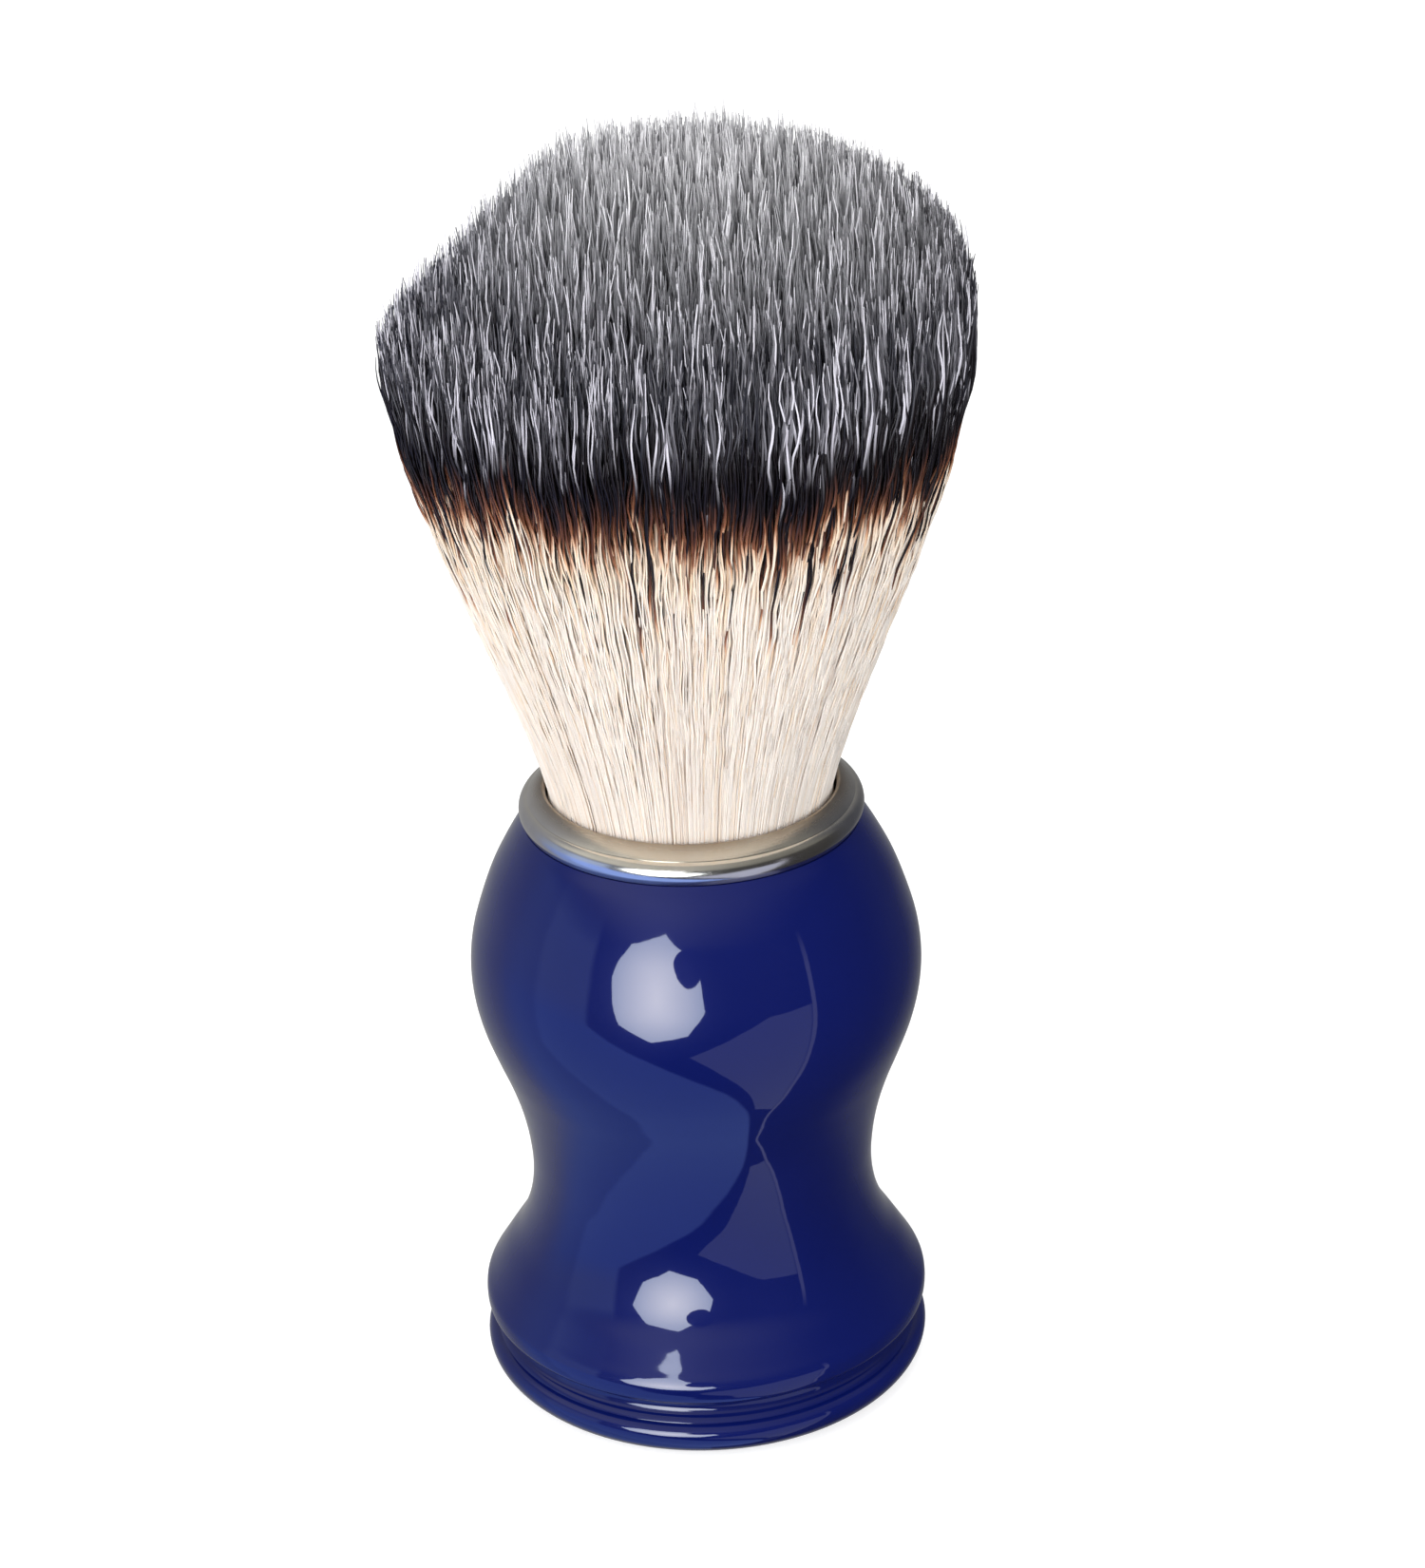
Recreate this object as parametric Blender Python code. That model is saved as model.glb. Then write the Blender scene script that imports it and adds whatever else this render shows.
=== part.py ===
"""Fade brush: a turned and lacquered handle, a metal collar and a flared knot of synthetic fibre.

Metres, +Z up. The origin is the centre of the foot's resting face, and the brush stands on it.
Every turned piece is an outline of (radius, height) points spun about the Z axis.
"""

import math

import bmesh
import bpy
import numpy as np

# Driving dimensions
FOOT_RADIUS = 0.0185
HANDLE_HEIGHT = 0.0500
KNOT_RADIUS = 0.0113
LOFT_TOP = 0.1062
GAP = 0.0003

# Foot: a rounded ring, a groove and the edge of the flare above it
REST_RADIUS = 0.8 * FOOT_RADIUS
RING_HEIGHT = 0.00255
RING_EDGE = 0.0010
GROOVE_RADIUS = 0.00085
GROOVE_HEIGHT = 0.0047
GROOVE_CENTRE = FOOT_RADIUS - 0.00075
FLARE_HEIGHT = 0.0064
FLARE_EDGE = 0.0008

# Body of the handle between the flare and the shoulder: (share of foot radius, height)
BODY_STATIONS = [
    (0.998, FLARE_HEIGHT),
    (0.998, 0.0069),
    (0.991, 0.0075),
    (0.958, 0.0085),
    (0.907, 0.0100),
    (0.839, 0.0120),
    (0.795, 0.0140),
    (0.770, 0.0160),
    (0.760, 0.0180),
    (0.763, 0.0200),
    (0.780, 0.0225),
    (0.810, 0.0250),
    (0.853, 0.0275),
    (0.905, 0.0300),
    (0.952, 0.0325),
    (0.981, 0.0350),
    (0.988, 0.0375),
    (0.972, 0.0400),
    (0.934, 0.0425),
    (0.885, 0.0450),
    (0.832, 0.0470),
    (0.776, 0.0488),
    (0.732, HANDLE_HEIGHT),
]

# Collar: a flange with a sloping top and a rounded flank, and a spigot in the handle's rebate
COLLAR_BORE = KNOT_RADIUS + GAP
COLLAR_RADIUS = 0.0138
COLLAR_HEIGHT = 0.0025
COLLAR_SLOPE = 0.0009
COLLAR_CREASE = 0.0131
FLANK_WIDTH = COLLAR_RADIUS - COLLAR_CREASE + 0.0002
FLANK_MIDDLE = 0.0006
SPIGOT_WALL = 0.0005
SPIGOT_DEPTH = 0.0024
COLLAR_GLUE = 0.0003

# Socket, plug and the glue between them
SOCKET_RADIUS = 0.0122
SOCKET_FLOOR = 0.0330
CUP_WALL = 0.0004
CUP_HEIGHT = 0.0062
PLUG_HEIGHT = 0.0060
PLUG_CORNER = 0.0006

# Nylon cord that gathers the roots above the plug
CORD_RADIUS = 0.0003
CORD_TURNS = 3
CORD_PITCH = 0.0009
CORD_WAIST = 0.0102
CORD_START = 0.0014
WAIST_START = 0.0006
WAIST_TURNS = CORD_TURNS + 1.4
WAIST_SWELL = 0.0010

# Loft: its sides flare to the widest point and a dome closes it
LOFT_RADIUS = 0.0227
LOFT_WIDEST = 0.0925
LOFT_FULLNESS = 1.1
DOME_POWER = 1.92

# The two bends of the loft. Each is a hinge at the centre of the sphere that parts the fibres.
LOWER_PIVOT = 0.0482
LOWER_SPHERE = 0.0160
UPPER_PIVOT = 0.0600
UPPER_SPHERE = 0.0252

HANDLE_SEGMENTS = 48
FIBRE_SEGMENTS = 32

COLLAR_SEAT = HANDLE_HEIGHT + GAP
COLLAR_TOP = COLLAR_SEAT + COLLAR_HEIGHT
SPIGOT_RADIUS = COLLAR_BORE + SPIGOT_WALL
REBATE_RADIUS = SPIGOT_RADIUS + 2 * GAP + COLLAR_GLUE
REBATE_FLOOR = HANDLE_HEIGHT - SPIGOT_DEPTH - GAP
CUP_RADIUS = SOCKET_RADIUS - GAP
CUP_FLOOR = SOCKET_FLOOR + GAP
PLUG_RADIUS = CUP_RADIUS - CUP_WALL - GAP
PLUG_FLOOR = CUP_FLOOR + CUP_WALL + GAP
ROOT_FLOOR = PLUG_FLOOR + PLUG_HEIGHT + GAP


def clear_scene():
    for thing in list(bpy.data.objects):
        bpy.data.objects.remove(thing, do_unlink=True)


def finish(name, colour, roughness, metallic=0.0, coat=0.0):
    material = bpy.data.materials.new(name)
    material.use_nodes = True
    shader = material.node_tree.nodes["Principled BSDF"]
    shader.inputs["Base Color"].default_value = (*colour, 1.0)
    shader.inputs["Roughness"].default_value = roughness
    shader.inputs["Metallic"].default_value = metallic
    shader.inputs["Coat Weight"].default_value = coat
    return material


def arc(centre, radii, start, end, steps):
    """Points of an elliptical arc in the (radius, height) plane; angles in degrees."""
    points = []
    for i in range(steps + 1):
        angle = math.radians(start + (end - start) * i / steps)
        points.append((centre[0] + radii[0] * math.cos(angle), centre[1] + radii[1] * math.sin(angle)))
    return points


def smooth_curve(stations, steps):
    """A curve through the stations, with slopes from each station's neighbours."""
    knots = np.array(stations)
    slopes = np.empty_like(knots)
    slopes[1:-1] = (knots[2:] - knots[:-2]) / 2
    slopes[0] = knots[1] - knots[0]
    slopes[-1] = knots[-1] - knots[-2]
    points = []
    for i in range(len(knots) - 1):
        for step in range(steps):
            t = step / steps
            rise = t * t * (3 - 2 * t)
            leave = t * (1 - t) ** 2
            arrive = t * t * (t - 1)
            point = knots[i] * (1 - rise) + knots[i + 1] * rise
            points.append(tuple(point + slopes[i] * leave + slopes[i + 1] * arrive))
    points.append(tuple(knots[-1]))
    return points


def add_object(name, mesh, material, pivot=0.0):
    """Adds the mesh with its origin at the pivot's height on the Z axis."""
    mesh.materials.append(material)
    thing = bpy.data.objects.new(name, mesh)
    bpy.context.scene.collection.objects.link(thing)
    thing.location.z = pivot
    return thing


def turned(name, outline, material, segments, closed=False, pivot=0.0, sharp=35.0):
    """Spins an outline about the Z axis. An open outline starts and ends on the axis."""
    shape = bmesh.new()
    points = [shape.verts.new((radius, 0.0, height - pivot)) for radius, height in outline]
    lines = [shape.edges.new(pair) for pair in zip(points, points[1:])]
    if closed:
        lines.append(shape.edges.new((points[-1], points[0])))
    bmesh.ops.spin(
        shape,
        geom=points + lines,
        cent=(0.0, 0.0, 0.0),
        axis=(0.0, 0.0, 1.0),
        angle=2 * math.pi,
        steps=segments,
        use_merge=True,
    )
    bmesh.ops.remove_doubles(shape, verts=shape.verts, dist=1e-7)
    bmesh.ops.recalc_face_normals(shape, faces=shape.faces)
    mesh = bpy.data.meshes.new(name)
    shape.to_mesh(mesh)
    shape.free()
    mesh.shade_smooth()
    mesh.set_sharp_from_angle(angle=math.radians(sharp))
    return add_object(name, mesh, material, pivot)


def add_handle(material):
    ring_centre = (FOOT_RADIUS - RING_EDGE, RING_HEIGHT)
    underside = arc((REST_RADIUS, RING_HEIGHT), (FOOT_RADIUS - REST_RADIUS, RING_HEIGHT), -90, 0, 6)
    ring_top = arc(ring_centre, (RING_EDGE, RING_EDGE), 0, 80, 3)[1:]
    groove = arc((GROOVE_CENTRE, GROOVE_HEIGHT), (GROOVE_RADIUS, GROOVE_RADIUS), 250, 120, 5)
    body = smooth_curve([(share * FOOT_RADIUS, height) for share, height in BODY_STATIONS], 1)
    crown = body[0][0]
    flare = arc((crown - FLARE_EDGE, FLARE_HEIGHT), (FLARE_EDGE, FLARE_EDGE), -70, 0, 3)[:-1]
    socket = [
        (REBATE_RADIUS, HANDLE_HEIGHT),
        (REBATE_RADIUS, REBATE_FLOOR),
        (SOCKET_RADIUS, REBATE_FLOOR),
        (SOCKET_RADIUS, SOCKET_FLOOR),
        (0.0, SOCKET_FLOOR),
    ]
    outline = [(0.0, 0.0)] + underside + ring_top + groove + flare + body + socket
    turned("handle", outline, material, HANDLE_SEGMENTS)


def add_collar_ring(material):
    middle = COLLAR_SEAT + FLANK_MIDDLE
    flank_radii = (FLANK_WIDTH, COLLAR_TOP - COLLAR_SLOPE - middle)
    outline = [
        (COLLAR_BORE, COLLAR_SEAT - SPIGOT_DEPTH),
        (SPIGOT_RADIUS, COLLAR_SEAT - SPIGOT_DEPTH),
        (SPIGOT_RADIUS, COLLAR_SEAT),
        (COLLAR_RADIUS - GAP, COLLAR_SEAT),
    ]
    outline += arc((COLLAR_RADIUS - FLANK_WIDTH, middle), flank_radii, -25, 78, 5)
    outline += arc((COLLAR_BORE + GAP, COLLAR_TOP - GAP), (GAP, GAP), 75, 180, 3)
    turned("collar_ring", outline, material, HANDLE_SEGMENTS, closed=True)


def add_collar_adhesive(material):
    inner = SPIGOT_RADIUS + GAP
    outer = inner + COLLAR_GLUE
    low = REBATE_FLOOR + GAP
    high = HANDLE_HEIGHT
    outline = [(inner, low), (outer, low), (outer, high), (inner, high)]
    turned("collar_adhesive", outline, material, FIBRE_SEGMENTS, closed=True)


def add_socket_adhesive(material):
    inner = CUP_RADIUS - CUP_WALL
    rim = CUP_FLOOR + CUP_HEIGHT
    outline = [
        (0.0, CUP_FLOOR),
        (CUP_RADIUS, CUP_FLOOR),
        (CUP_RADIUS, rim),
        (inner, rim),
        (inner, CUP_FLOOR + CUP_WALL),
        (0.0, CUP_FLOOR + CUP_WALL),
    ]
    turned("socket_adhesive", outline, material, FIBRE_SEGMENTS)


def add_knot_plug(material):
    top = PLUG_FLOOR + PLUG_HEIGHT
    corner_centre = (PLUG_RADIUS - PLUG_CORNER, PLUG_FLOOR + PLUG_CORNER)
    outline = [(0.0, PLUG_FLOOR)]
    outline += arc(corner_centre, (PLUG_CORNER, PLUG_CORNER), -90, 0, 3)
    outline += [(PLUG_RADIUS, top), (0.0, top)]
    turned("knot_plug", outline, material, FIBRE_SEGMENTS)


def add_knot_binding(material):
    """One cord wound in a helix around the waist of the root."""
    wound_radius = CORD_WAIST + GAP + CORD_RADIUS
    start = ROOT_FLOOR + CORD_START
    points_per_turn = 20
    count = CORD_TURNS * points_per_turn + 1
    curve = bpy.data.curves.new("knot_binding", "CURVE")
    curve.dimensions = "3D"
    curve.bevel_depth = CORD_RADIUS
    curve.bevel_resolution = 1
    curve.use_fill_caps = True
    line = curve.splines.new("POLY")
    line.points.add(count - 1)
    for i, point in enumerate(line.points):
        angle = 2 * math.pi * i / points_per_turn
        height = start + CORD_PITCH * i / points_per_turn
        point.co = (wound_radius * math.cos(angle), wound_radius * math.sin(angle), height, 1.0)
    curve.materials.append(material)
    thing = bpy.data.objects.new("knot_binding", curve)
    bpy.context.scene.collection.objects.link(thing)


def loft_side(height):
    """Radius of the flaring bundle at a height above the collar's mouth."""
    t = (height - COLLAR_TOP) / (LOFT_WIDEST - COLLAR_TOP)
    share = 1 - (1 - t) ** 2 * (1 + LOFT_FULLNESS * t)
    return KNOT_RADIUS + (LOFT_RADIUS - KNOT_RADIUS) * share


def side_points(low, high, steps):
    heights = [low + (high - low) * i / steps for i in range(steps + 1)]
    return [(loft_side(height), height) for height in heights]


def meet_sphere(pivot, radius):
    """Height at which the loft's side crosses a sphere centred on the axis."""
    low, high = COLLAR_TOP, LOFT_WIDEST
    for _ in range(50):
        middle = (low + high) / 2
        if math.hypot(loft_side(middle), middle - pivot) < radius:
            low = middle
        else:
            high = middle
    return low


def sphere_cap(pivot, radius, steps):
    """Points from the loft's side up to the axis on a sphere about the pivot."""
    height = meet_sphere(pivot, radius)
    rim = math.degrees(math.atan2(height - pivot, loft_side(height)))
    return arc((0.0, pivot), (radius, radius), rim, 90, steps)


def on_axis(points):
    """Puts the last point of an outline exactly on the axis."""
    return points[:-1] + [(0.0, points[-1][1])]


def add_fibre_root(material):
    waist_low = ROOT_FLOOR + WAIST_START
    waist_high = waist_low + WAIST_TURNS * CORD_PITCH
    cap = on_axis(sphere_cap(LOWER_PIVOT, LOWER_SPHERE, 8))
    outline = [
        (0.0, ROOT_FLOOR),
        (PLUG_RADIUS, ROOT_FLOOR),
        (CORD_WAIST, waist_low),
        (CORD_WAIST, waist_high),
        (KNOT_RADIUS, waist_high + WAIST_SWELL),
    ]
    outline += side_points(COLLAR_TOP, cap[0][1], 3)[:-1]
    turned("fibre_root", outline + cap, material, FIBRE_SEGMENTS)


def add_fibre_lower_loft(material):
    bottom = on_axis(sphere_cap(LOWER_PIVOT, LOWER_SPHERE + GAP, 8))
    top = on_axis(sphere_cap(UPPER_PIVOT, UPPER_SPHERE, 9))
    side = side_points(bottom[0][1], top[0][1], 7)[1:-1]
    outline = bottom[::-1] + side + top
    turned("fibre_lower_loft", outline, material, FIBRE_SEGMENTS, pivot=LOWER_PIVOT)


def add_fibre_upper_loft(material):
    bottom = on_axis(sphere_cap(UPPER_PIVOT, UPPER_SPHERE + GAP, 9))
    side = side_points(bottom[0][1], LOFT_WIDEST, 5)[1:-1]
    dome = []
    steps = 12
    for i in range(steps + 1):
        angle = math.pi / 2 * i / steps
        radius = LOFT_RADIUS * math.cos(angle) ** (2 / DOME_POWER)
        height = LOFT_WIDEST + (LOFT_TOP - LOFT_WIDEST) * math.sin(angle) ** (2 / DOME_POWER)
        dome.append((radius, height))
    outline = bottom[::-1] + side + on_axis(dome)
    turned("fibre_upper_loft", outline, material, FIBRE_SEGMENTS, pivot=UPPER_PIVOT)


def build():
    clear_scene()
    lacquer = finish("blue_lacquer", (0.012, 0.022, 0.220), 0.12, coat=1.0)
    metal = finish("collar_metal", (0.62, 0.61, 0.57), 0.25, metallic=1.0)
    glue = finish("cured_glue", (0.75, 0.68, 0.48), 0.35)
    resin = finish("plug_resin", (0.62, 0.44, 0.20), 0.25)
    cord = finish("binding_cord", (0.82, 0.80, 0.74), 0.70)
    root_fibre = finish("root_fibre", (0.83, 0.75, 0.64), 0.55)
    band_fibre = finish("band_fibre", (0.62, 0.52, 0.42), 0.55)
    tip_fibre = finish("tip_fibre", (0.20, 0.20, 0.23), 0.55)
    add_handle(lacquer)
    add_collar_ring(metal)
    add_collar_adhesive(glue)
    add_socket_adhesive(glue)
    add_knot_plug(resin)
    add_knot_binding(cord)
    add_fibre_root(root_fibre)
    add_fibre_lower_loft(band_fibre)
    add_fibre_upper_loft(tip_fibre)


build()
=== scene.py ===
"""Fade brush: lacquered handle, metal collar and a flared knot of dyed synthetic fibre.

Metres, +Z up. The origin is the centre of the foot's resting face.
"""

import math

import bmesh
import bpy
import numpy as np
from mathutils import Matrix, Vector


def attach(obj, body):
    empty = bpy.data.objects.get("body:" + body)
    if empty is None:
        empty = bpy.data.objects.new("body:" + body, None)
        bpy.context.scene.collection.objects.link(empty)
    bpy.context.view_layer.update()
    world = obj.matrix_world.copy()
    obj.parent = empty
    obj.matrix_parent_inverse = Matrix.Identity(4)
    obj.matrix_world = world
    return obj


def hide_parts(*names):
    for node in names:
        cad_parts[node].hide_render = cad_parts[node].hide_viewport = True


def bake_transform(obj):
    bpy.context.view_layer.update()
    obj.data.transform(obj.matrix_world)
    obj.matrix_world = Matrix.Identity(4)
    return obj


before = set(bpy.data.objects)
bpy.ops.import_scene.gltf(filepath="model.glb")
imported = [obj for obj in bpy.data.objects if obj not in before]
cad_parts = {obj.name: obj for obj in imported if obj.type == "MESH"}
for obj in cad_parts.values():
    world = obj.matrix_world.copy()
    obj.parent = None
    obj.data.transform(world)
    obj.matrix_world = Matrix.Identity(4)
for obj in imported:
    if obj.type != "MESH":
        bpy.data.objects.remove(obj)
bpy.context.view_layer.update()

# Handle
FOOT_RADIUS = 0.0185
HANDLE_HEIGHT = 0.0500
GAP = 0.0003
REST_RADIUS = 0.8 * FOOT_RADIUS
RING_HEIGHT = 0.00255
RING_EDGE = 0.0010
GROOVE_RADIUS = 0.00085
GROOVE_HEIGHT = 0.0047
GROOVE_CENTRE = FOOT_RADIUS - 0.00075
FLARE_HEIGHT = 0.0064
FLARE_EDGE = 0.0008
BODY_STATIONS = [
    (0.998, FLARE_HEIGHT),
    (0.998, 0.0069),
    (0.991, 0.0075),
    (0.958, 0.0085),
    (0.907, 0.0100),
    (0.839, 0.0120),
    (0.795, 0.0140),
    (0.770, 0.0160),
    (0.760, 0.0180),
    (0.763, 0.0200),
    (0.780, 0.0225),
    (0.810, 0.0250),
    (0.853, 0.0275),
    (0.905, 0.0300),
    (0.952, 0.0325),
    (0.981, 0.0350),
    (0.988, 0.0375),
    (0.972, 0.0400),
    (0.934, 0.0425),
    (0.885, 0.0450),
    (0.832, 0.0470),
    (0.776, 0.0488),
    (0.732, HANDLE_HEIGHT),
]
SOCKET_RADIUS = 0.0122
SOCKET_FLOOR = 0.0330

# Collar
KNOT_RADIUS = 0.0113
COLLAR_BORE = KNOT_RADIUS + GAP
COLLAR_RADIUS = 0.0138
COLLAR_HEIGHT = 0.0025
COLLAR_SLOPE = 0.0009
COLLAR_CREASE = 0.0131
FLANK_WIDTH = COLLAR_RADIUS - COLLAR_CREASE + 0.0002
FLANK_MIDDLE = 0.0006
COLLAR_SEAT = HANDLE_HEIGHT + GAP
COLLAR_TOP = COLLAR_SEAT + COLLAR_HEIGHT
SPIGOT_WALL = 0.0005
SPIGOT_RADIUS = COLLAR_BORE + SPIGOT_WALL
SPIGOT_DEPTH = 0.0024
SEAM = 0.00006
COLLAR_GLUE = 0.0003
REBATE_RADIUS = SPIGOT_RADIUS + 2 * GAP + COLLAR_GLUE
REBATE_FLOOR = HANDLE_HEIGHT - SPIGOT_DEPTH - GAP

# Knot: its outline and its clipped top
LOFT_TOP = 0.1062
LOFT_RADIUS = 0.0227
LOFT_WIDEST = 0.0925
LOFT_FULLNESS = 1.1
DOME_POWER = 1.92
FULL_SIDE = 0.38
SLANT_RISE = 0.0240
SLANT_DROP = 0.0010

# Knot: the tiers meet at one height
STRAND_START = 0.0506
TIER_HEIGHT = 0.0765

# Knot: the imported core
CORE_SHARE = 0.86
CORE_ROOT_SHARE = 0.955
CORE_SINK = 0.0075
CORE_SEGMENTS = 64

# Knot: the strands. Shares are of the bundle's radius, 0 on its axis and 1 at its outside.
RANDOM_SEED = 7
OUTER_STRANDS = 6300
OUTER_SHARES = (0.86, 1.0)
PATH_STEPS = 60
LOWER_STEPS = 12
UPPER_STEPS = 15
CROWN_STRANDS = 8400
CROWN_SHARES = (0.0, OUTER_SHARES[0] + 0.01)
CROWN_STEPS = 8
CROWN_SINK = 0.0135
PIECES_PER_LAYER = 3
STRAND_RADIUS = 0.000105
STRAND_SIZES = (0.8, 1.15)
ROOT_WIDTH = 0.82
ROOT_RUN = 0.025
TIP_WIDTH = 0.28
TIP_TAPER = 0.0045
STRANDS_PER_TUFT = 2.6
GATHER = 0.60
GATHER_START = 0.086
GATHER_RUN = 0.016
SHELL_PACKING = 0.35
PACKED_START = 0.066
PACKED_RUN = 0.022
TIP_TRIM = 0.0002
TIP_SCATTER = 0.0011
TUFT_SCATTER = 0.0004
DARK_SINK = 0.0003
STRAND_DRIFT = 0.034
STRAND_SPREAD = 0.012
STRAY_CHANCE = 0.03
STRAY_REACH = 0.03
TUFT_CRIMP = 0.00017
TUFT_CRIMP_LENGTH = (0.0056, 0.0092)
TUFT_CRIMP_LAG = 0.35
STRAND_CRIMP = 0.00006
STRAND_CRIMP_LENGTH = (0.0040, 0.0068)
CRIMP_RUN = 0.012
LOOSE_START = 0.070
LOOSE_RUN = 0.020

# Dye: heights are measured on the resting brush
DYE_HEIGHT = 0.0818
DYE_REACH = (-0.0090, 0.0030)
DYE_SETTLE = -0.0003
DYE_LEVELS = 16
SPIKE_CHANCE = 0.36
SPIKE_LENGTH = 0.0038
SHADES = 4
SHADE_MEAN = 1.6
SHADE_TUFT_SPREAD = 0.45
SHADE_STRAND_SPREAD = 1.1
CLASSES = DYE_LEVELS * SHADES
HEIGHT_RANGE = (0.048, 0.110)
# The export bakes onto a map of this name, so it keeps the strands' map and makes no other
STRAND_MAP = "OFBake"

# Studio
CAMERA_PLACE = (0.0, -0.28282, 0.18534)
CAMERA_PITCH = 0.4397
CAMERA_YAW = 0.0061
CAMERA_ROLL = -0.0287
CAMERA_LENS = 90.17
SOFT_LIGHT = (0.98, 0.98, 0.985)
PANEL_GAIN = 10.0
PANEL_TURN = 6

TURN_SEGMENTS = 192


# ---------------------------------------------------------------- outlines


def arc(centre, radii, start, end, steps):
    """Points of an elliptical arc in the (radius, height) plane; angles in degrees."""
    points = []
    for i in range(steps + 1):
        angle = math.radians(start + (end - start) * i / steps)
        points.append((centre[0] + radii[0] * math.cos(angle), centre[1] + radii[1] * math.sin(angle)))
    return points


def smooth_curve(stations, steps):
    """A curve through the stations, with slopes from each station's neighbours."""
    knots = np.array(stations)
    slopes = np.empty_like(knots)
    slopes[1:-1] = (knots[2:] - knots[:-2]) / 2
    slopes[0] = knots[1] - knots[0]
    slopes[-1] = knots[-1] - knots[-2]
    points = []
    for i in range(len(knots) - 1):
        for step in range(steps):
            t = step / steps
            rise = t * t * (3 - 2 * t)
            leave = t * (1 - t) ** 2
            arrive = t * t * (t - 1)
            point = knots[i] * (1 - rise) + knots[i + 1] * rise
            points.append(tuple(point + slopes[i] * leave + slopes[i + 1] * arrive))
    points.append(tuple(knots[-1]))
    return points


def loft_side(height):
    """Radius of the bundle at a height, or at each of an array of heights."""
    t = np.clip((height - COLLAR_TOP) / (LOFT_WIDEST - COLLAR_TOP), 0.0, 1.0)
    share = 1 - (1 - t) ** 2 * (1 + LOFT_FULLNESS * t)
    return KNOT_RADIUS + (LOFT_RADIUS - KNOT_RADIUS) * share


# ---------------------------------------------------------------- materials


def node(tree, kind, **inputs):
    """Adds a node; a keyword names an input socket or, failing that, a property."""
    made = tree.nodes.new(kind)
    for name, value in inputs.items():
        label = name.replace("_", " ")
        if label in made.inputs:
            made.inputs[label].default_value = value
        else:
            setattr(made, name, value)
    return made


def calculate(tree, operation, first, second=0.0, third=0.0, clamp=False):
    """A Math node whose inputs are sockets or numbers; returns its output."""
    made = tree.nodes.new("ShaderNodeMath")
    made.operation = operation
    made.use_clamp = clamp
    for slot, value in zip(made.inputs, (first, second, third)):
        if isinstance(value, (int, float)):
            slot.default_value = value
        else:
            tree.links.new(value, slot)
    return made.outputs[0]


def mix_colours(tree, factor, first, second, blend="MIX"):
    made = tree.nodes.new("ShaderNodeMix")
    made.data_type = "RGBA"
    made.blend_type = blend
    for slot, value in zip((made.inputs[0], made.inputs[6], made.inputs[7]), (factor, first, second)):
        if isinstance(value, (int, float)):
            slot.default_value = value
        elif isinstance(value, tuple):
            slot.default_value = (*value, 1.0)
        else:
            tree.links.new(value, slot)
    return made.outputs[2]


def ramp(tree, factor, stops):
    """A colour ramp through (position, colour) stops; returns its colour output."""
    made = tree.nodes.new("ShaderNodeValToRGB")
    band = made.color_ramp
    while len(band.elements) < len(stops):
        band.elements.new(0.5)
    for element, (position, colour) in zip(band.elements, stops):
        element.position = position
        element.color = (*colour, 1.0)
    tree.links.new(factor, made.inputs[0])
    return made.outputs[0]


def remap(tree, value, low, high, to_low=0.0, to_high=1.0, smooth=False):
    """A Map Range node from low..high to to_low..to_high, clamped."""
    made = tree.nodes.new("ShaderNodeMapRange")
    made.interpolation_type = "SMOOTHSTEP" if smooth else "LINEAR"
    tree.links.new(value, made.inputs["Value"])
    for slot, number in (("From Min", low), ("From Max", high), ("To Min", to_low), ("To Max", to_high)):
        if isinstance(number, (int, float)):
            made.inputs[slot].default_value = number
        else:
            tree.links.new(number, made.inputs[slot])
    return made.outputs["Result"]


def new_material(name, **settings):
    """A node material; the keywords set sockets of its Principled shader."""
    material = bpy.data.materials.new(name)
    material.use_nodes = True
    tree = material.node_tree
    shader = tree.nodes["Principled BSDF"]
    for key, value in settings.items():
        shader.inputs[key.replace("_", " ")].default_value = value
    return material, tree, shader


def object_place(tree):
    return node(tree, "ShaderNodeTexCoord").outputs["Object"]


def noise(tree, place, scale, detail=3.0, roughness=0.5):
    made = node(tree, "ShaderNodeTexNoise", Scale=scale, Detail=detail, Roughness=roughness)
    tree.links.new(place, made.inputs["Vector"])
    return made.outputs["Fac"]


def add_bump(tree, shader, height, distance, strength=1.0, socket="Normal"):
    made = node(tree, "ShaderNodeBump", Strength=strength, Distance=distance)
    tree.links.new(height, made.inputs["Height"])
    tree.links.new(made.outputs["Normal"], shader.inputs[socket])


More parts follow.
